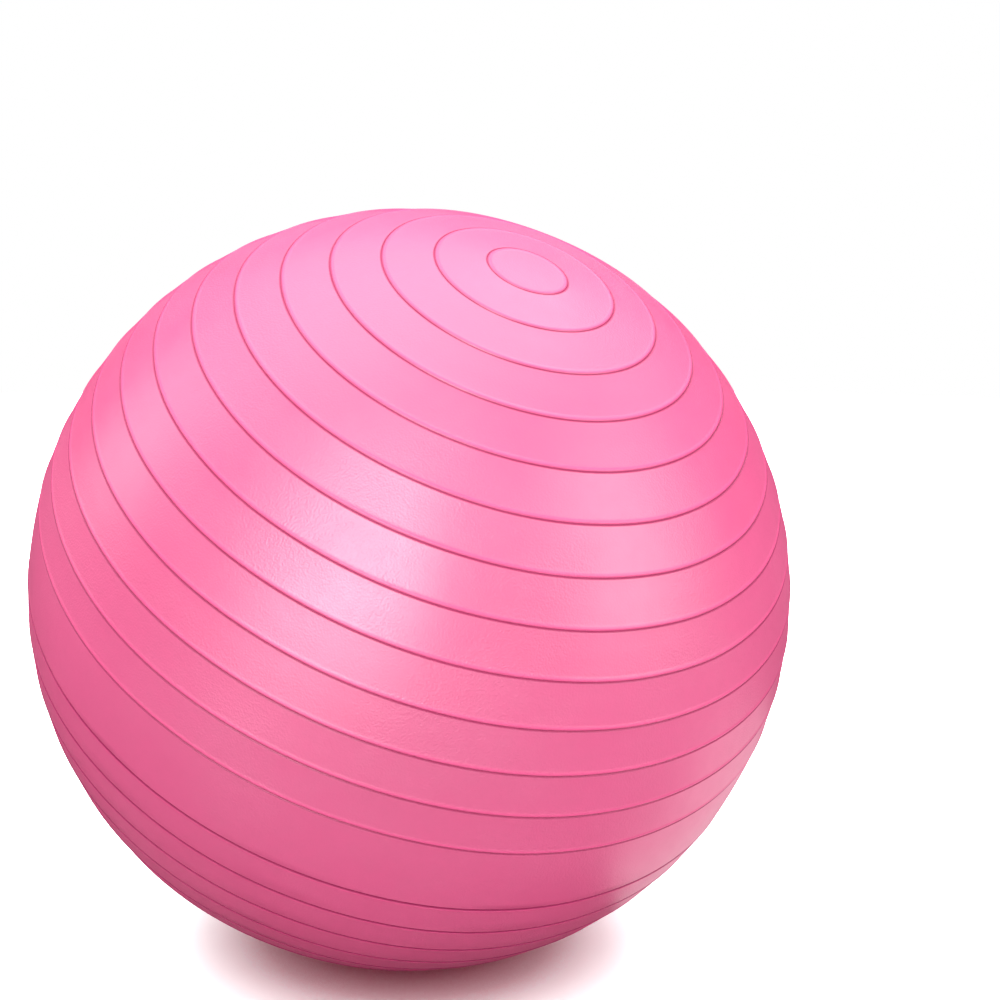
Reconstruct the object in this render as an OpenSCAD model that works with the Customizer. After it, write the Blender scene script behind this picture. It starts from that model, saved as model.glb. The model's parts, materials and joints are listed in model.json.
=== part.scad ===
// Exercise ball: a hollow, ribbed PVC ball with a soft valve seat fused into its wall
// and a push-in plug. Millimetres, +Z up. The ball stands on z = 0, on the small flat
// that its own weight presses into it, with its centre straight above the origin.
// The ribs are rings about one axis, which leans over as the ball has come to rest.

/* [Ball] */
// Diameter over the skin, between the ribs
ball_d = 450; // [350:5:750]
// Skin thickness of the inflated ball
skin_t = 1; // [0.8:0.1:3]
// Radius of the flat that the ball's weight presses against the floor
flat_r = 30; // [15:1:45]

/* [Ribs] */
// Rings on each side of the plain middle band
ring_count = 13; // [8:1:15]
// Angle from the pole to the first ring, seen from the ball's centre
first_ring_deg = 5.4; // [4:0.1:8]
// Angle between the last rings, beside the plain band
band_pitch_deg = 6; // [5:0.1:6.5]
// Rib width where it meets the skin
rib_w = 2.8; // [2:0.1:4]
// Rib height above the skin
rib_h = 0.8; // [0.4:0.1:1.2]

/* [Attitude] */
// Lean of the ring axis away from vertical
ring_lean_deg = 31.3; // [0:0.1:90]
// Direction that the ring axis leans in, round from +X
ring_turn_deg = -57.6; // [-180:0.1:180]
// Place of the valve round the plain band, from the band's lowest point
valve_turn_deg = 180; // [0:5:355]

/* [Valve seat] */
// Radius of the collar that fills the hole in the skin
collar_r = 13; // [11.5:0.5:16]
// Thickness of the collar
collar_t = 4; // [3.5:0.5:6]
// Radius of the flange welded to the inside of the skin
flange_r = 19; // [17.5:0.5:22]
// Flange thickness
flange_t = 1.2; // [0.8:0.1:2]
// Outer radius of the tube that grips the plug
tube_r = 6.8; // [6:0.1:8]
// Depth of the tube's inner end below the ball's surface
tube_depth = 23; // [20:1:26]

/* [Plug] */
// Radius of the plug's head
head_r = 9; // [7.5:0.5:10]
// Head thickness at its rim
head_t = 2; // [1.5:0.1:2.5]
// Stem length below the head, to the tip
stem_l = 25; // [22:1:30]
// Stem radius under the head
stem_r = 4.3; // [4:0.1:4.8]
// Stem radius at the tip
tip_r = 3.3; // [2.8:0.1:3.8]
// Height of the sealing rings on the stem
seal_h = 0.4; // [0.2:0.1:0.6]

/* [Hidden] */
$fn = 180;
eps = 0.1;
// Cutting shapes run past the surfaces that they cut by at least this much.
margin = 10;

ball_r = ball_d / 2;
centre_z = sqrt(ball_r * ball_r - flat_r * flat_r);

// A rib is the top of a round bead, sunk until its width and height come out right.
bead_r = (rib_w * rib_w / 4 + rib_h * rib_h) / (2 * rib_h);
bead_orbit = ball_r + rib_h - bead_r;
// The floor presses the ribs level with the skin as far out as they would touch it.
press_edge = 2;
press_r = sqrt(flat_r * flat_r + 2 * ball_r * rib_h + rib_h * rib_h) + press_edge;
press_depth = 0.05;
// The rings stand a little wider apart at the pole than beside the plain band.
ring_span = 90 - band_pitch_deg - first_ring_deg;
pole_pitch_deg = 2 * ring_span / (ring_count - 1) - band_pitch_deg;
pitch_step = (pole_pitch_deg - band_pitch_deg) / (ring_count - 2);

// The seat overlaps the skin by this much where the two are welded.
weld = 0.1;
// Working gaps: round the head, and between the stem's rings and the bore.
head_gap = 0.4;
bore_gap = 0.05;
head_sink = 0.3;
floor_y = ball_r - head_sink - head_t;
tip_y = floor_y - stem_l;
tube_end_y = ball_r - tube_depth;

// The stem's core is thinner than its sealing rings by their height.
seal_w = 3;
seal_places = [0.3, 0.52, 0.74];
nose_r = tip_r - seal_h;
dish_r = head_r * 0.6;
dish_depth = 0.5;

// Angle from the pole to ring n, counted from 0.
function ring_deg(n) = first_ring_deg + n * pole_pitch_deg - pitch_step * n * (n - 1) / 2;

// Largest radius of the stem at height y, on the line that its sealing rings touch.
function stem_at(y) = tip_r + (stem_r - tip_r) * (y - tip_y) / stem_l;

// Puts the ring axis where the ball has come to rest, with the ball's centre as origin.
module in_ring_frame() {
  translate([0, 0, centre_z])
    rotate([0, ring_lean_deg, ring_turn_deg])
      children();
}

// +Z runs out through the valve, from the ball's centre.
module in_valve_frame() {
  in_ring_frame()
    rotate([0, 0, valve_turn_deg])
      rotate([0, 90, 0])
        children();
}

// The half plane that a turned profile may use.
module right_half() {
  translate([0, -2 * ball_r])
    square([2 * ball_r, 4 * ball_r]);
}

module ribbed_disc() {
  circle(r = ball_r);
  for (n = [0 : ring_count - 1]) {
    for (side = [-1, 1]) {
      translate([bead_orbit * sin(ring_deg(n)), side * bead_orbit * cos(ring_deg(n))])
        circle(r = bead_r, $fn = 48);
    }
  }
}

module ribbed_ball() {
  in_ring_frame()
    rotate_extrude()
      intersection() {
        ribbed_disc();
        right_half();
      }
}

module above(z) {
  translate([-ball_r - margin, -ball_r - margin, z])
    cube(ball_d + 2 * margin);
}

// What the floor presses out of shape round the flat: the ribs, and a hair of the skin.
module rib_press() {
  difference() {
    translate([0, 0, -margin])
      cylinder(h = 2 * margin, r = press_r);
    translate([0, 0, centre_z])
      sphere(r = ball_r - press_depth);
  }
}

module ball_shell() {
  color([1, 0.48, 0.69])
    difference() {
      intersection() {
        difference() {
          ribbed_ball();
          rib_press();
        }
        above(0);
      }
      intersection() {
        translate([0, 0, centre_z])
          sphere(r = ball_r - skin_t);
        above(skin_t);
      }
      in_valve_frame()
        cylinder(h = ball_r + margin, r = collar_r - weld);
    }
}

module seat_profile() {
  difference() {
    union() {
      // Collar, flush with the skin outside
      intersection() {
        circle(r = ball_r);
        translate([0, ball_r - collar_t])
          square([collar_r, collar_t + 1]);
      }
      // Flange, welded against the inside of the skin
      intersection() {
        difference() {
          circle(r = ball_r - skin_t + weld);
          circle(r = ball_r - skin_t - flange_t);
        }
        translate([0, ball_r - margin])
          square([flange_r, margin]);
      }
      // Tube round the plug's stem
      translate([0, tube_end_y])
        square([tube_r, tube_depth - collar_t + eps]);
    }
    // Recess for the head
    translate([0, floor_y])
      square([head_r + head_gap, margin]);
    // Tapered bore for the stem
    polygon([
      [0, tube_end_y - 1],
      [stem_at(tube_end_y - 1) + bore_gap, tube_end_y - 1],
      [stem_at(floor_y + 1) + bore_gap, floor_y + 1],
      [0, floor_y + 1]
    ]);
  }
}

module valve_seat() {
  color([0.93, 0.40, 0.60])
    in_valve_frame()
      rotate_extrude($fn = 96)
        seat_profile();
}

// One rounded sealing ring, with its crest on the line of stem_at.
module seal_profile(y) {
  seal_bead_r = (seal_w * seal_w / 4 + seal_h * seal_h) / (2 * seal_h);
  translate([stem_at(y) - seal_bead_r, y])
    circle(r = seal_bead_r, $fn = 72);
}

module plug_profile() {
  // Stem core and its round nose
  polygon([
    [0, tip_y + nose_r],
    [nose_r, tip_y + nose_r],
    [stem_r - seal_h, floor_y + eps],
    [0, floor_y + eps]
  ]);
  translate([0, tip_y + nose_r])
    circle(r = nose_r, $fn = 48);
  // Sealing rings
  for (place = seal_places) {
    seal_profile(tip_y + place * stem_l);
  }
  // Plain neck under the head
  translate([0, floor_y - 3])
    square([stem_at(floor_y - 3), 3 + eps]);
  // Head, with its rim rounded off
  translate([0, floor_y])
    square([head_r - head_t / 2, head_t]);
  translate([head_r - head_t / 2, floor_y + head_t / 2])
    circle(r = head_t / 2, $fn = 48);
}

// Shallow round dish in the middle of the head.
module head_dish() {
  curve_r = (dish_r * dish_r + dish_depth * dish_depth) / (2 * dish_depth);
  translate([0, floor_y + head_t - dish_depth + curve_r])
    circle(r = curve_r);
}

module valve_plug() {
  color([0.95, 0.95, 0.94])
    in_valve_frame()
      rotate_extrude($fn = 96)
        intersection() {
          difference() {
            plug_profile();
            head_dish();
          }
          right_half();
        }
}

ball_shell();
valve_seat();
valve_plug();
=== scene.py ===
import json
import math

import bmesh
import bpy
import numpy as np
from mathutils import Matrix, Vector


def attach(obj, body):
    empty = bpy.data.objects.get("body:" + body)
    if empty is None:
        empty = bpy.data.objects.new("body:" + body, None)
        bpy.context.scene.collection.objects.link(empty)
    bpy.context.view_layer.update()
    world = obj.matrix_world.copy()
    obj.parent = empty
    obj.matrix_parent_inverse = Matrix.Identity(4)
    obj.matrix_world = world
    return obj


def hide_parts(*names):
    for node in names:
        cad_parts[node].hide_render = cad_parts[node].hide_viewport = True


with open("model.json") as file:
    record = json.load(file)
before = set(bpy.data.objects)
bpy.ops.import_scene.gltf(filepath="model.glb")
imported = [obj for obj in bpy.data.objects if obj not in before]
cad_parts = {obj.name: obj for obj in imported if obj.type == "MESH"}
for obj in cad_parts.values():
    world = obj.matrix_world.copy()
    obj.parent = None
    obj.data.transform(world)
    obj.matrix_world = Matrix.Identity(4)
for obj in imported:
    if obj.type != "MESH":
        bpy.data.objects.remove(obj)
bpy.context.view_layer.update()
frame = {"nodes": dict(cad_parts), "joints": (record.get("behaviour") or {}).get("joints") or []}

MM = 0.001

# ---------------------------------------------------------------- sizes from the CAD
# The same numbers as in part.scad. The ball's are in metres and degrees.
BALL_R = 0.225
FLAT_R = 0.030
SKIN_T = 0.001
RING_COUNT = 13
FIRST_RING = 5.4
BAND_PITCH = 6.0
RING_LEAN = 31.3
RING_TURN = -57.6

# The valve's are in mm.
TUBE_R = 6.8
TUBE_DEPTH = 23.0
HEAD_T = 2.0
HEAD_SINK = 0.3
STEM_L = 25.0
STEM_R = 4.3
TIP_R = 3.3
SEAL_W = 3.0
SEAL_H = 0.4
# Places of the sealing rings, as shares of the stem's length from its tip.
SEAL_PLACES = (0.74, 0.52, 0.3)

CENTRE = Vector((0, 0, math.sqrt(BALL_R**2 - FLAT_R**2)))
POLE_PITCH = 2 * (90 - BAND_PITCH - FIRST_RING) / (RING_COUNT - 1) - BAND_PITCH
PITCH_STEP = (POLE_PITCH - BAND_PITCH) / (RING_COUNT - 2)
UPPER_RINGS = [
    FIRST_RING + n * POLE_PITCH - PITCH_STEP * n * (n - 1) / 2 for n in range(RING_COUNT)
]
RINGS = UPPER_RINGS + [180 - a for a in reversed(UPPER_RINGS)]

# The ring frame: +Z is the axis of the ribs, and -X points at the valve.
RING_ROT = np.array(
    Matrix.Rotation(math.radians(RING_TURN), 3, "Z")
    @ Matrix.Rotation(math.radians(RING_LEAN), 3, "Y")
)
VALVE_AXIS = Vector(frame["joints"][0]["axis"]).normalized()
VALVE_IN_RINGS = np.array([-1.0, 0.0, 0.0])


# ---------------------------------------------------------------- mesh helpers
def make_object(name, points, faces, body, marks=None):
    """A smooth closed body. marks holds named values, one for each of the first points."""
    mesh = bpy.data.meshes.new(name)
    mesh.from_pydata([tuple(p) for p in points], [], faces)
    for mark, values in (marks or {}).items():
        whole = np.zeros(len(points))
        whole[:len(values)] = values
        mesh.attributes.new(mark, "FLOAT", "POINT").data.foreach_set("value", whole)
    work = bmesh.new()
    work.from_mesh(mesh)
    bmesh.ops.delete(work, geom=[v for v in work.verts if not v.link_faces], context="VERTS")
    bmesh.ops.recalc_face_normals(work, faces=work.faces)
    work.to_mesh(mesh)
    work.free()
    mesh.polygons.foreach_set("use_smooth", [True] * len(mesh.polygons))
    obj = bpy.data.objects.new(name, mesh)
    bpy.context.scene.collection.objects.link(obj)
    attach(obj, body)
    return obj


class Cloud:
    """Points gathered ring by ring, and numbered in the order in which they are added."""

    def __init__(self, first=0):
        self.parts = []
        self.count = first

    def add(self, points):
        numbers = list(range(self.count, self.count + len(points)))
        self.parts.append(points)
        self.count += len(points)
        return numbers

    def points(self):
        return np.concatenate(self.parts)


def join_rings(low, high, skip=()):
    """Faces between two rings of vertex numbers: the same count each, or twice as many in low.
    Cells whose place in the ring is in skip are left open."""
    faces = []
    n = len(high)
    for i in range(n):
        if i in skip:
            continue
        j = (i + 1) % n
        if len(low) == n:
            faces.append((low[i], high[i], high[j], low[j]))
        else:
            a, b, c = low[2 * i], low[2 * i + 1], low[(2 * i + 2) % len(low)]
            faces += [(a, high[i], b), (b, high[i], high[j]), (b, high[j], c)]
    return faces


def flipped(faces):
    return [face[::-1] for face in faces]


def square_loop(rings, row, column, half):
    """Vertex numbers round a square hole in a grid, which reaches half cells each way from its middle."""
    side = range(2 * half)
    loop = [rings[row - half][column - half + i] for i in side]
    loop += [rings[row - half + i][column + half] for i in side]
    loop += [rings[row + half][column + half - i] for i in side]
    loop += [rings[row + half - i][column - half] for i in side]
    return loop


def smooth_step(x):
    """0 below 0 and 1 above 1, with a soft start and end between them."""
    x = np.clip(x, 0, 1)
    return x * x * (3 - 2 * x)


# ---------------------------------------------------------------- the ball's skin
# A rib seen across: a low rise on the side of the pole, a round crest and a fall to the foot,
# then a tight crease on the side of the plain band. Distances and heights in mm.
# The ribs above the plain band stand higher than the ones below it.
UPPER_RIB = [
    (-2.4, 0.0), (-1.9, 0.02), (-1.4, 0.09), (-1.0, 0.17), (-0.6, 0.26), (-0.25, 0.30),
    (0.1, 0.27), (0.35, 0.17), (0.55, 0.03), (0.72, -0.14), (0.86, -0.32), (1.0, -0.43),
    (1.15, -0.43), (1.3, -0.28), (1.45, -0.08), (1.65, 0.04), (1.95, 0.03), (2.3, 0.0),
]
LOWER_RIB = [
    (-2.2, 0.0), (-1.3, 0.05), (-0.6, 0.14), (-0.1, 0.16), (0.25, 0.10), (0.5, -0.05),
    (0.75, -0.24), (1.0, -0.40), (1.2, -0.42), (1.45, -0.28), (1.75, -0.06), (2.0, 0.0),
]
# No rib's shape reaches further than this from its middle, and its corners are rounded over this.
RIB_REACH = 2.8
CORNER_BLUR = 0.06
# Mesh rows across each rib, at these distances from its middle.
RIB_ROWS = [
    -2.5, -1.9, -1.35, -0.85, -0.4, 0.0, 0.32, 0.55, 0.73, 0.88, 1.0, 1.14, 1.28, 1.42,
    1.6, 1.85, 2.2,
]

# Where shade is painted into the crease as a darker colour, and where the crest is dull: distance in mm,
# amount to 1.
UPPER_SHADE = [(0.45, 0.0), (0.75, 0.7), (1.0, 0.8), (1.5, 0.8), (2.0, 0.0)]
LOWER_SHADE = [(0.1, 0.0), (0.4, 0.8), (0.7, 1.0), (1.6, 1.0), (2.2, 0.0)]
CREST_SHEEN = [(-1.6, 0.0), (-0.9, 1.0), (0.4, 1.0), (0.7, 0.0)]

# The ribs wander sideways by this much in mm, and their height varies by this share.
RIB_WANDER = 0.12
RIB_UNEVEN = 0.05
# The skin swells and sinks by this much in mm, over a hand's breadth or more.
SKIN_SWELL = 0.16
# For waviness: the seed, the number of waves added up, and the slowest and fastest of them.
RIB_WAVES = (5, 8, 8, 26)
SKIN_WAVES = (11, 10, 5, 13)

# How flat the bands are, from 0 for round to 1 for flat: the wide ones, which are the plain band
# and the caps at the poles, and the rest. A band is wide above this many degrees.
WIDE_BAND = 9
WIDE_FLATNESS = 0.35
FLATNESS = 0.55
BAND_EDGES = np.array([0.0] + RINGS + [180.0])

# Round the valve the skin is a plain sphere: out to this radius, with a blend this wide beyond it.
BOSS_R = 0.016
BOSS_BLEND = 0.012

# Below this height the floor may press the skin, and the skin rolls off the flat this softly.
PRESS_HEIGHT = 0.02
PRESS_ROLL = 0.00035


def softened(shape):
    """The curve through these points in steps of 0.005 mm, with its corners rounded off."""
    s = np.linspace(-3, 3, 1201)
    blur = np.exp(-0.5 * (np.linspace(-0.3, 0.3, 121) / CORNER_BLUR) ** 2)
    return s, np.convolve(np.interp(s, *np.transpose(shape)), blur / blur.sum(), mode="same")


def across_ribs(theta, wander, upper, lower):
    """Value of a shape across the ribs, at each point. upper and lower are the shape on each side
    of the plain band. theta is the angle from the pole, and wander moves the ribs sideways."""
    curves = softened(upper), softened(lower)
    out = np.zeros_like(theta)
    for ring in RINGS:
        below = ring > 90
        s = np.radians(theta - ring) * BALL_R / MM * (-1 if below else 1)
        near = np.abs(s) < RIB_REACH
        out[near] += np.interp(s[near] + RIB_WANDER * wander[near], *curves[below])
    return out


def band_sink(theta):
    """How far the skin between two ribs lies inside the full sphere, in mm."""
    i = np.clip(np.searchsorted(BAND_EDGES, theta) - 1, 0, len(BAND_EDGES) - 2)
    low, high = BAND_EDGES[i], BAND_EDGES[i + 1]
    # The caps at the poles count as bands that run on over the pole.
    low = np.where(i == 0, -high, low)
    high = np.where(i == len(BAND_EDGES) - 2, 360 - low, high)
    crown = BALL_R / MM * (1 - np.cos(np.radians(high - low) / 2))
    flatness = np.where(high - low > WIDE_BAND, WIDE_FLATNESS, FLATNESS)
    t = (theta - low) / (high - low) * 2 - 1
    return flatness * crown * (1 - t * t)


def waviness(d, seed, count, slow, fast):
    """A smooth random field on the sphere, about -1 to 1."""
    rng = np.random.default_rng(seed)
    out = np.zeros(len(d))
    for _ in range(count):
        k = rng.normal(size=3)
        k *= rng.uniform(slow, fast) / np.linalg.norm(k)
        out += np.cos(d @ k + rng.uniform(0, 2 * math.pi))
    return out / math.sqrt(count)


def to_world(p):
    """Points of the ring frame, measured from the ball's centre, in the shared frame."""
    return p @ RING_ROT.T + np.array(CENTRE)


def place_outer(d):
    """Points of the outer skin along unit vectors d of the ring frame, and their marks."""
    theta = np.degrees(np.arccos(np.clip(d[:, 2], -1, 1)))
    wander = waviness(d, *RIB_WAVES)
    from_valve = np.arccos(np.clip(d @ VALVE_IN_RINGS, -1, 1)) * BALL_R
    free = smooth_step((from_valve - BOSS_R) / BOSS_BLEND)
    shape = (SKIN_SWELL * waviness(d, *SKIN_WAVES) - band_sink(theta)) * free
    ribs = across_ribs(theta, wander, UPPER_RIB, LOWER_RIB) * (1 + RIB_UNEVEN * wander)
    r = BALL_R + (shape + ribs) * MM
    p = to_world(d * r[:, None])
    # The floor presses the skin flat, with a soft roll at the edge.
    z = p[:, 2]
    p[:, 2] = np.where(z < PRESS_HEIGHT, 0.5 * (z + np.sqrt(z * z + PRESS_ROLL**2)), z)
    # This mark says where shade is painted into the skin's colour along the creases; it also lowers the
    # gloss there.
    crease_shade = across_ribs(theta, wander, UPPER_SHADE, LOWER_SHADE)
    crest = across_ribs(theta, wander, CREST_SHEEN, CREST_SHEEN)
    return p, {"crease_shade": crease_shade, "crest": crest}


def place_inner(d):
    """Points of the inner skin, which the floor presses flat too."""
    p = to_world(d * (BALL_R - SKIN_T))
    p[:, 2] = np.maximum(p[:, 2], SKIN_T)
    return p


# Mesh columns round the ball, the rough step between rows on a band, and the first rows on the
# cap at the pole. Angles in degrees.
COLUMNS = 192
BAND_STEP = 2.0
CAP_ROWS = [0.7, 1.6, 2.6]
# Nearer to the pole than the first number, a mesh row has one point for this many columns.
THINNER_ROWS = [(2.2, 8), (8.6, 4), (15.6, 2)]

# The mesh round the valve: this many cells each way from it make room for the round hole.
PATCH = 3
PATCH_STEP = 1.45
MID_ROWS = [90 - PATCH_STEP * k for k in range(PATCH, 0, -1)] + [90.0]

# The rings that draw the square hole in to a circle go this share of the way to it.
ROUNDING_SHARES = (0.35, 0.75, 1.0)
# Then come rings of these radii, and the edge, which rolls down into the weld line and through
# the wall: its radii and depths below the ball's surface. All in mm.
EASING_RADII = (15.2, 14.5, 13.9, 13.5, 13.2)
WELD_EDGE = ((13.05, 0.05), (12.97, 0.22), (12.93, 0.5), (12.9, 0.9))

# The inner skin's grid is plainer. Angles in degrees.
INNER_COLUMNS = 80
INNER_STEP = 4.5
INNER_PATCH = 1


def row_of(theta, count):
    """Unit vectors of the ring frame to the points of a mesh row at this angle from the pole."""
    t = np.radians(np.full(count, theta))
    f = np.radians(360.0 * np.arange(count) / count)
    return np.stack([np.sin(t) * np.cos(f), np.sin(t) * np.sin(f), np.cos(t)], -1)


def round_valve(turns, angles):
    """Unit vectors of the ring frame at these angles from the valve's axis, turned round it."""
    x = -np.cos(angles)
    y = -np.sin(angles) * np.cos(turns)
    z = np.sin(angles) * np.sin(turns)
    return np.stack([x, y, z], -1)


def upper_rows():
    """Polar angles of the mesh rows down to the plain band, dense across each rib."""
    per_mm = math.degrees(MM / BALL_R)
    rows = list(CAP_ROWS)
    for ring in UPPER_RINGS:
        low = rows[-1]
        high = ring + RIB_ROWS[0] * per_mm
        steps = max(2, round((high - low) / BAND_STEP))
        rows += [low + (high - low) * k / steps for k in range(1, steps)]
        rows += [ring + s * per_mm for s in RIB_ROWS]
    return rows


def ring_size(theta):
    """Points in the mesh row at this polar angle: fewer toward the poles."""
    edge = min(theta, 180 - theta)
    for limit, share in THINNER_ROWS:
        if edge < limit:
            return COLUMNS // share
    return COLUMNS


def outer_grid(cloud):
    """The rows of the outer skin and the faces between them. cloud takes the unit vectors.
    Returns the faces, and the vertex numbers round the square hole left for the valve."""
    upper = upper_rows() + MID_ROWS
    rows = upper + [180 - a for a in reversed(upper[:-1])]
    north = cloud.add(np.array([[0.0, 0.0, 1.0]]))[0]
    rings = [cloud.add(row_of(theta, ring_size(theta))) for theta in rows]
    south = cloud.add(np.array([[0.0, 0.0, -1.0]]))[0]

    first, last = rings[0], rings[-1]
    faces = [(north, first[i], first[(i + 1) % len(first)]) for i in range(len(first))]
    middle = rows.index(90.0)
    valve_column = COLUMNS // 2
    hole_rows = range(middle - PATCH, middle + PATCH)
    hole_columns = range(valve_column - PATCH, valve_column + PATCH)
    for k in range(len(rows) - 1):
        if len(rings[k]) < len(rings[k + 1]):
            faces += flipped(join_rings(rings[k + 1], rings[k]))
        else:
            faces += join_rings(rings[k], rings[k + 1], hole_columns if k in hole_rows else ())
    faces += [(south, last[(i + 1) % len(last)], last[i]) for i in range(len(last))]
    return faces, square_loop(rings, middle, valve_column, PATCH)


def round_off_hole(cloud, faces, loop):
    """Rings that draw the square hole in the outer skin in to a circle round the valve seat.
    Returns the last ring, and the turn of each of its points round the valve."""
    edge = cloud.points()[loop]
    turns = np.arctan2(edge[:, 2], -edge[:, 1])
    turns = turns[0] + np.unwrap(turns - turns[0])
    angles = np.arccos(np.clip(edge @ VALVE_IN_RINGS, -1, 1))
    step = 2 * math.pi / len(loop) * (1 if turns[-1] > turns[0] else -1)
    even_turns = turns[0] + step * np.arange(len(loop))
    previous = loop
    for share in ROUNDING_SHARES:
        ring = cloud.add(round_valve(
            turns * (1 - share) + even_turns * share,
            angles * (1 - share) + BOSS_R / BALL_R * share,
        ))
        faces += flipped(join_rings(previous, ring))
        previous = ring
    fine_turns = even_turns[0] + step / 2 * np.arange(2 * len(loop))
    for radius in EASING_RADII:
        ring = cloud.add(round_valve(fine_turns, np.full(len(fine_turns), radius * MM / BALL_R)))
        if len(ring) == len(previous):
            faces += flipped(join_rings(previous, ring))
        else:
            faces += join_rings(ring, previous)
        previous = ring
    return previous, fine_turns


def weld_edge(cloud, faces, previous, turns):
    """The hole's edge, down through the wall. cloud takes points. Returns the last ring."""
    for radius, drop in WELD_EDGE:
        d = round_valve(turns, np.full(len(turns), radius * MM / BALL_R))
        ring = cloud.add(to_world(d * (BALL_R - drop * MM)))
        faces += flipped(join_rings(previous, ring))
        previous = ring
    return previous


def inner_grid(cloud, faces):
    """The inner skin. Returns the vertex numbers round its square hole at the valve."""
    rows = np.arange(INNER_STEP, 180, INNER_STEP)
    rings = [cloud.add(place_inner(row_of(theta, INNER_COLUMNS))) for theta in rows]
    north, south = cloud.add(place_inner(np.array([[0.0, 0.0, 1.0], [0.0, 0.0, -1.0]])))
    middle = len(rows) // 2
    valve_column = INNER_COLUMNS // 2
    hole_rows = range(middle - INNER_PATCH, middle + INNER_PATCH)
    hole_columns = range(valve_column - INNER_PATCH, valve_column + INNER_PATCH)
    for k, (a, b) in enumerate(zip(rings, rings[1:])):
        for i in range(INNER_COLUMNS):
            if k in hole_rows and i in hole_columns:
                continue
            j = (i + 1) % INNER_COLUMNS
            faces.append((a[i], a[j], b[j], b[i]))
    for i in range(INNER_COLUMNS):
        j = (i + 1) % INNER_COLUMNS
        faces.append((north, rings[0][j], rings[0][i]))
        faces.append((south, rings[-1][i], rings[-1][j]))
    return square_loop(rings, middle, valve_column, INNER_PATCH)


def close_wall(faces, fine, coarse):
    """Faces from the hole's fine ring to the inner skin's coarse one. Both start at the same corner."""
    per = len(fine) // len(coarse)
    for i in range(len(coarse)):
        j = (i + 1) % len(coarse)
        run = [fine[(i * per + q) % len(fine)] for q in range(per + 1)]
        for q in range(per):
            faces.append((coarse[i], run[q + 1], run[q]))
        faces.append((coarse[i], coarse[j], run[per]))


def build_skin():
    """Points and faces of the ball's skin, and the marks of its outer points."""
    directions = Cloud()
    faces, loop = outer_grid(directions)
    ring, turns = round_off_hole(directions, faces, loop)
    outer, marks = place_outer(directions.points())
    rest = Cloud(directions.count)
    ring = weld_edge(rest, faces, ring, turns)
    close_wall(faces, ring, inner_grid(rest, faces))
    return np.concatenate([outer, rest.points()]), faces, marks


skin_points, skin_faces, skin_marks = build_skin()
shell = make_object("ball_skin", skin_points, skin_faces, "ball", skin_marks)
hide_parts("ball_shell")


# ---------------------------------------------------------------- valve seat and plug
LATHE_STEPS = 96

# Heights on the valve's axis in mm from the ball's centre: the ball's surface, the floor of the
# recess for the plug's head, the plug's tip, and the tube's inner end.
TOP = BALL_R / MM
RECESS = TOP - HEAD_SINK - HEAD_T
TIP = RECESS - STEM_L
TUBE_END = TOP - TUBE_DEPTH


def lathe(name, outline, body):
    """A closed body turned round the valve axis. outline holds (radius, height) in mm."""
    z = VALVE_AXIS
    x = z.orthogonal().normalized()
    y = z.cross(x)
    points, rings = [], []
    for r, h in outline:
        centre = CENTRE + z * (h * MM)
        if r < 1e-6:
            rings.append([len(points)])
            points.append(centre)
            continue
        rings.append(list(range(len(points), len(points) + LATHE_STEPS)))
        for i in range(LATHE_STEPS):
            a = 2 * math.pi * i / LATHE_STEPS
            points.append(centre + (x * math.cos(a) + y * math.sin(a)) * (r * MM))
    pairs = list(zip(rings, rings[1:]))
    # An outline that doesn't start on the axis is a closed loop.
    if len(rings[0]) > 1:
        pairs.append((rings[-1], rings[0]))
    faces = []
    for a, b in pairs:
        for i in range(LATHE_STEPS):
            j = (i + 1) % LATHE_STEPS
            if len(a) == 1:
                faces.append((a[0], b[i], b[j]))
            elif len(b) == 1:
                faces.append((a[i], b[0], a[j]))
            else:
                faces.append((a[i], b[i], b[j], a[j]))
    return make_object(name, points, faces, body)


def rounded(corners, steps):
    """A line of (radius, height) from corners of (radius, height, rounding)."""
    points = [Vector(corner[:2]) for corner in corners]
    out = []
    for i, p in enumerate(points):
        rounding = corners[i][2]
        if rounding <= 0 or i in (0, len(points) - 1):
            out.append(tuple(p))
            continue
        a = points[i - 1] - p
        b = points[i + 1] - p
        cut = min(rounding, a.length * 0.48, b.length * 0.48)
        start = p + a.normalized() * cut
        end = p + b.normalized() * cut
        for k in range(steps + 1):
            t = k / steps
            out.append(tuple(start.lerp(p, t).lerp(p.lerp(end, t), t)))
    return out


def skin_h(r):
    """Height of the ball's surface at this distance from the valve's axis."""
    return math.sqrt(TOP * TOP - r * r)


def stem_at(h):
    """Radius of the line that the stem's sealing rings touch."""
    return TIP_R + (STEM_R - TIP_R) * (h - TIP) / STEM_L


def seat_outline():
    """The seat, from the weld line over the collar's lip, down the recess and the bore,
    and back up outside the tube and under the flange."""
    corners = [
        (12.9, TOP - 1.15, 0),
        (12.94, skin_h(13) - 0.35, 0.2),
        (12.7, skin_h(12.7) + 0.12, 0.35),
        (11.6, skin_h(11.6) + 0.18, 0.3),
        (11.2, skin_h(11.2) - 0.02, 0.2),
        (9.85, skin_h(9.85) - 0.02, 0.3),
        (9.42, skin_h(9.4) - 0.5, 0.3),
        (9.4, RECESS, 0.25),
        (stem_at(RECESS) + 0.45, RECESS, 0.2),
        (stem_at(RECESS) + 0.05, RECESS - 0.5, 0.2),
        (stem_at(TUBE_END) + 0.05, TUBE_END + 0.4, 0.2),
        (stem_at(TUBE_END) + 0.35, TUBE_END, 0.2),
        (TUBE_R, TUBE_END, 0.8),
        (TUBE_R, TOP - 4.6, 0.5),
        (7.6, TOP - 4.0, 0.4),
        (12.9, TOP - 4.0, 0.4),
        (13.0, skin_h(13) - 2.2, 0.4),
        (18.9, skin_h(19) - 2.2, 0.4),
        (19.0, skin_h(19) - 1.1, 0.4),
        (16, skin_h(16) - 0.98, 0),
    ]
    return rounded(corners, 5)


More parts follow.
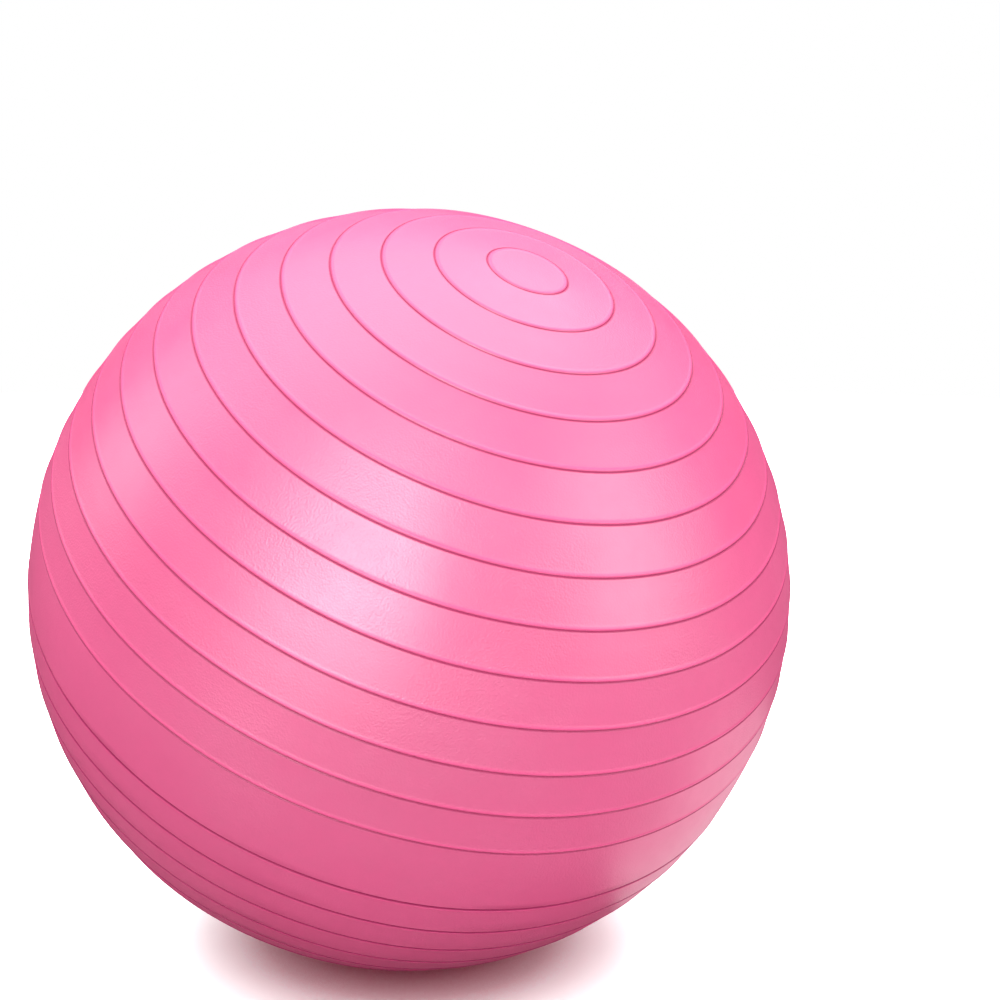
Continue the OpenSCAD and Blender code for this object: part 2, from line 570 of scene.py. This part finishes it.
def plug_outline():
    """The plug: a dished head, a neck, a stem with three sealing rings, and a round nose."""
    top = RECESS + HEAD_T
    head = rounded(
        [
            (0, top - 0.2, 0),
            (0.55, top - 0.22, 0.15),
            (0.75, top - 0.48, 0.15),
            (2.4, top - 0.42, 1),
            (4.6, top - 0.2, 0.4),
            (5.3, top, 0.5),
            (7.4, top - 0.02, 0.6),
            (8.5, top - 0.25, 0.7),
            (9.0, top - 0.95, 0.6),
            (8.75, RECESS + 0.25, 0.35),
            (8.3, RECESS + 0.02, 0.3),
            (4.75, RECESS + 0.02, 0.35),
            (4.25, RECESS - 0.45, 0.3),
        ],
        4,
    )
    stem = [(4.17, RECESS - 3.0)]
    for place in SEAL_PLACES:
        h = TIP + place * STEM_L
        for k in range(-8, 9):
            q = k / 8
            sink = SEAL_H * (1 - math.cos(math.pi * q)) / 2
            stem.append((stem_at(h) - sink, h - SEAL_W / 2 * q))
    stem.append((3.02, TIP + 5.0))
    nose_r = TIP_R - SEAL_H
    nose = []
    for k in range(8):
        a = math.pi / 2 * k / 8
        nose.append((nose_r * math.cos(a), TIP + nose_r - nose_r * math.sin(a)))
    return head + stem + nose + [(0, TIP)]


seat = lathe("valve_collar", seat_outline(), "ball")
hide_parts("valve_seat")

plug = lathe("valve_stopper", plug_outline(), "plug")
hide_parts("valve_plug")


# ---------------------------------------------------------------- materials
class Net:
    """The nodes of a material or of the world, with short ways to add and join them."""

    def __init__(self, owner):
        owner.use_nodes = True
        self.nodes = owner.node_tree.nodes
        self.links = owner.node_tree.links

    def fill(self, node, inputs):
        """Sets inputs. Each is a number, a colour of three numbers, or another node's output."""
        for key, value in inputs.items():
            if isinstance(value, bpy.types.NodeSocket):
                self.links.new(value, node.inputs[key])
            elif isinstance(value, tuple):
                node.inputs[key].default_value = (*value, 1)
            else:
                node.inputs[key].default_value = value

    def add(self, kind, inputs=None, **settings):
        node = self.nodes.new("ShaderNode" + kind)
        for key, value in settings.items():
            setattr(node, key, value)
        self.fill(node, inputs or {})
        return node

    def object_coords(self):
        return self.add("TexCoord").outputs["Object"]

    def noise(self, coords, scale, detail):
        return self.add("TexNoise", {"Vector": coords, "Scale": scale, "Detail": detail}).outputs["Fac"]

    def remap(self, source, low, high, from_low=0.3, from_high=0.7):
        limits = {"From Min": from_low, "From Max": from_high, "To Min": low, "To Max": high}
        return self.add("MapRange", {"Value": source, **limits}).outputs["Result"]

    def maths(self, operation, a, b):
        return self.add("Math", {0: a, 1: b}, operation=operation).outputs[0]

    def mark(self, name):
        """The value that make_object stored on the mesh under this name."""
        return self.add("Attribute", attribute_name=name).outputs["Fac"]

    def mix_colour(self, factor, a, b):
        return self.add("Mix", {0: factor, 6: a, 7: b}, data_type="RGBA").outputs[2]

    def mix_shader(self, factor, a, b):
        return self.add("MixShader", {0: factor, 1: a, 2: b}).outputs[0]


# Repeats per metre of the patterns in the skin, from coarse to fine, and then in the plug.
CLOUDS = 9.0
PATCHES = 14.0
MOTTLE = 130.0
PEBBLES = 900.0
SPECKS = 950.0
PLUG_CLOUDS = 240.0
PLUG_GRAIN = 1800.0
PLUG_GRAIN_DEPTH = 0.00002
# The dark colour painted into the creases as shade and its share, how dull the crest is, and how shiny
# the skin is where it isn't dull.
CREASE_SHADE_COLOUR = (0.24, 0.005, 0.06)
CREASE_SHADE_SHARE = 0.85
CREST_DULLNESS = 0.5
SHINY = 0.5
DULL = 0.02
# The facing values between which the gloss falls off toward the outline.
EDGE_FROM = 0.91
EDGE_TO = 0.97
# Pearl pigment gives the skin a stronger sheen than clear plastic.
PEARL_IOR = 2.4


def pvc(name, light, deep, roughness, grain_depth):
    """Soft moulded PVC: even pigment with faint clouds, shade painted into the rib creases, and a fine
    pebbled grain that comes and goes.
    """
    material = bpy.data.materials.new(name)
    net = Net(material)
    coords = net.object_coords()
    cloud = net.noise(coords, CLOUDS, 3.0)
    fine = net.noise(coords, MOTTLE, 2.0)
    patch = net.noise(coords, PATCHES, 2.0)
    speck = net.noise(coords, SPECKS, 2.0)

    tint = net.maths("ADD", net.remap(cloud, 0.0, 0.7), net.remap(fine, 0.0, 0.3))
    # Shade is painted into the creases: the colour is mixed toward a dark maroon along the crease mark.
    painted_crease_shade = net.maths("MULTIPLY", net.mark("crease_shade"), CREASE_SHADE_SHARE)
    colour = net.mix_colour(painted_crease_shade, net.mix_colour(tint, light, deep), CREASE_SHADE_COLOUR)

    # The gloss is lower in the creases, on the crests and where the skin is seen edge on.
    facing = net.add("LayerWeight").outputs["Facing"]
    outline = net.remap(facing, 0.0, 1.0, EDGE_FROM, EDGE_TO)
    on_crest = net.maths("MULTIPLY", net.mark("crest"), CREST_DULLNESS)
    dull = net.maths("MAXIMUM", net.maths("MAXIMUM", painted_crease_shade, outline), on_crest)

    # The grain comes and goes in patches, and so does the roughness.
    patchy = net.remap(patch, roughness - 0.03, roughness + 0.05)
    pebble = net.add(
        "TexVoronoi", {"Vector": coords, "Scale": PEBBLES, "Smoothness": 0.6}, feature="SMOOTH_F1"
    )
    height = net.maths("ADD", pebble.outputs["Distance"], net.maths("MULTIPLY", speck, 0.7))
    height = net.maths("MULTIPLY", height, net.remap(patch, 0.25, 1.0, 0.38, 0.62))
    bump = net.add("Bump", {"Height": height, "Strength": 1.0, "Distance": grain_depth})

    net.fill(net.nodes["Principled BSDF"], {
        "Base Color": colour,
        "Specular IOR Level": net.remap(dull, SHINY, DULL, 0.0, 0.9),
        "Roughness": net.maths("ADD", patchy, net.remap(fine, -0.02, 0.02)),
        "Normal": bump.outputs["Normal"],
        "IOR": PEARL_IOR,
    })
    return material


def plug_plastic(name, light, deep):
    """Hard moulded plastic with a faint cloud in its white and a very fine grain."""
    material = bpy.data.materials.new(name)
    net = Net(material)
    coords = net.object_coords()
    cloud = net.noise(coords, PLUG_CLOUDS, 3.0)
    grain = net.noise(coords, PLUG_GRAIN, 2.0)
    bump = net.add("Bump", {"Height": grain, "Distance": PLUG_GRAIN_DEPTH})
    net.fill(net.nodes["Principled BSDF"], {
        "Base Color": net.mix_colour(net.remap(cloud, 0, 1), light, deep),
        "Roughness": net.remap(cloud, 0.32, 0.44),
        "Normal": bump.outputs["Normal"],
    })
    return material


skin_pvc = pvc("pink_pvc", (0.80, 0.092, 0.266), (0.76, 0.084, 0.248), 0.41, 0.00014)
seat_pvc = pvc("pink_pvc_valve", (0.62, 0.090, 0.225), (0.57, 0.078, 0.20), 0.36, 0.00003)
white_plastic = plug_plastic("white_plug_plastic", (0.66, 0.655, 0.635), (0.60, 0.595, 0.57))

for piece, cad_name, piece_material in (
    (shell, "ball_shell", skin_pvc),
    (seat, "valve_seat", seat_pvc),
    (plug, "valve_plug", white_plastic),
):
    piece.data.materials.append(piece_material)
    cad_node = frame["nodes"][cad_name]
    cad_node.data.materials.clear()
    cad_node.data.materials.append(piece_material)


# ---------------------------------------------------------------- floor, light and camera
WHITE = (1, 1, 1)

FLOOR_R = 4.0
FLOOR_SIDES = 96
FLOOR_DROP = 0.0001
# The floor's colour to everything but the camera, to the camera away from the ball, and the dark red
# shadow colour painted under the ball for the camera.
FLOOR_BOUNCE = (0.55, 0.47, 0.505)
FLOOR_SEEN = (1.36, 1.6, 1.552)
FLOOR_PAINTED_SHADOW = (0.72, 0.07, 0.17)
# How far the painted shadow under the ball reaches, and how open to the sky a place on the floor is where
# the painted shadow is at its deepest and where it ends.
SHADOW_REACH = 0.14
SHADOW_CORE = 0.02
SHADOW_END = 0.45
# The floor's glow for the camera starts and is full at these distances from the ball's foot.
WHITE_FROM = 0.09
WHITE_AT = 0.32
WHITE_STRENGTH = 1.2


def toward(azimuth, elevation):
    """Unit vector from the ball: azimuth 0 is toward -Y and 90 toward +X."""
    a, e = math.radians(azimuth), math.radians(elevation)
    return Vector((math.sin(a) * math.cos(e), -math.cos(a) * math.cos(e), math.sin(e)))


def floor_white():
    """The studio floor is lit to pure white for the camera, with a dark red shadow painted in under the
    ball, and is a pale pinkish grey to the rest.
    """
    material = bpy.data.materials.new("floor_white")
    net = Net(material)
    net.nodes.remove(net.nodes["Principled BSDF"])
    # Under the ball a dark red shadow is painted into the floor's colour where the ball closes the floor
    # in, in place of the red light that the skin throws back.
    painted_shadow_ao = net.add("AmbientOcclusion", {"Distance": SHADOW_REACH}, samples=16)
    shade = net.remap(painted_shadow_ao.outputs["AO"], 0.0, 1.0, SHADOW_CORE, SHADOW_END)
    seen = net.add("BsdfDiffuse", {"Color": net.mix_colour(shade, FLOOR_PAINTED_SHADOW, FLOOR_SEEN)})
    reach = net.add("VectorMath", {0: net.object_coords()}, operation="LENGTH")
    fade = net.remap(reach.outputs["Value"], 0.0, WHITE_STRENGTH, WHITE_FROM, WHITE_AT)
    far_white = net.add("Emission", {"Color": WHITE, "Strength": fade})
    lit = net.add("AddShader", {0: seen.outputs[0], 1: far_white.outputs[0]})
    bounce = net.add("BsdfDiffuse", {"Color": FLOOR_BOUNCE})
    from_camera = net.add("LightPath").outputs["Is Camera Ray"]
    surface = net.mix_shader(from_camera, bounce.outputs[0], lit.outputs[0])
    net.fill(net.nodes["Material Output"], {"Surface": surface})
    return material


def make_floor():
    turns = np.linspace(0, 2 * math.pi, FLOOR_SIDES, endpoint=False)
    edge = [(FLOOR_R * math.cos(a), FLOOR_R * math.sin(a), 0) for a in turns]
    mesh = bpy.data.meshes.new("floor")
    mesh.from_pydata(edge, [], [list(range(FLOOR_SIDES))])
    mesh.materials.append(floor_white())
    floor = bpy.data.objects.new("floor", mesh)
    bpy.context.scene.collection.objects.link(floor)
    floor.visible_glossy = False
    # Just under the ball's flat, so that the two don't share a plane.
    floor.location.z = -FLOOR_DROP


def area_light(name, place, facing, width, height, radiance):
    """A rectangular light of the given radiance that shines against the direction facing."""
    light = bpy.data.lights.new(name, "AREA")
    light.shape = "RECTANGLE"
    light.size = width
    light.size_y = height
    light.energy = radiance * math.pi * width * height
    obj = bpy.data.objects.new(name, light)
    bpy.context.scene.collection.objects.link(obj)
    obj.location = place
    obj.rotation_mode = "QUATERNION"
    obj.rotation_quaternion = facing.to_track_quat("Z", "Y")
    obj.visible_camera = False
    return obj


def softbox(name, azimuth, elevation, distance, width, height, radiance):
    """A light that faces the ball's centre from that direction."""
    d = toward(azimuth, elevation)
    return area_light(name, CENTRE + d * distance, d, width, height, radiance)


make_floor()

# Azimuth and elevation in degrees, distance, width and height in metres, and radiance.
softbox("key", -12, 24, 1.3, 0.66, 0.80, 4.2)
softbox("key_low", -20, 3, 0.9, 0.70, 0.60, 1.75).visible_diffuse = False
softbox("left", -96, 29, 1.3, 0.66, 0.85, 1.45)
softbox("right", 59, 16, 1.0, 0.62, 0.75, 1.9)
softbox("top", 180, 80, 1.6, 2.0, 1.8, 0.95)
softbox("back_right", 115, 50, 1.7, 1.0, 1.0, 1.0).visible_diffuse = False
softbox("sky", 180, 84, 1.7, 2.6, 2.6, 2.4).visible_glossy = False

# A pale card on the floor, behind and to the right, that only shows as a reflection.
CARD_TURN = 108
CARD_DISTANCE = 0.33
CARD_LIFT = Vector((0, 0, 0.002))
CARD_SIZE = (0.37, 0.40)
CARD_RADIANCE = 1.05
UP = Vector((0, 0, 1))
card_place = toward(CARD_TURN, 0) * CARD_DISTANCE + CARD_LIFT
low_card = area_light("low_right", card_place, -UP, *CARD_SIZE, CARD_RADIANCE)
card_turn = Matrix.Rotation(math.radians(CARD_TURN), 4, "Z").to_quaternion()
low_card.rotation_quaternion = card_turn @ low_card.rotation_quaternion
low_card.visible_diffuse = False

# A white studio: pure white for the camera, softer as light on the ball, and dim in reflections,
# where it would hide the softboxes.
SEEN_STRENGTH = 1.0
AMBIENT_STRENGTH = 0.72
MIRRORED_STRENGTH = 0.035
world = bpy.data.worlds.new("studio")
bpy.context.scene.world = world
studio = Net(world)
backdrop = studio.nodes["Background"]
studio.fill(backdrop, {"Color": WHITE, "Strength": SEEN_STRENGTH})
ambient = studio.add("Background", {"Color": WHITE, "Strength": AMBIENT_STRENGTH})
mirrored = studio.add("Background", {"Color": WHITE, "Strength": MIRRORED_STRENGTH})
ray = studio.add("LightPath")
unseen = studio.mix_shader(ray.outputs["Is Glossy Ray"], ambient.outputs[0], mirrored.outputs[0])
surround = studio.mix_shader(ray.outputs["Is Camera Ray"], unseen, backdrop.outputs[0])
studio.fill(studio.nodes["World Output"], {"Surface": surround})

CAMERA_ELEVATION = 12
CAMERA_DISTANCE = 0.985
lens = bpy.data.cameras.new("camera")
lens.sensor_width = 36
lens.lens = 58.5
lens.shift_x = 0.0913
lens.shift_y = 0.0897
camera = bpy.data.objects.new("camera", lens)
bpy.context.scene.collection.objects.link(camera)
bpy.context.scene.camera = camera
back = toward(0, CAMERA_ELEVATION)
camera.location = CENTRE + back * CAMERA_DISTANCE
camera.rotation_mode = "QUATERNION"
camera.rotation_quaternion = back.to_track_quat("Z", "Y")
bpy.context.scene.view_settings.view_transform = "Standard"
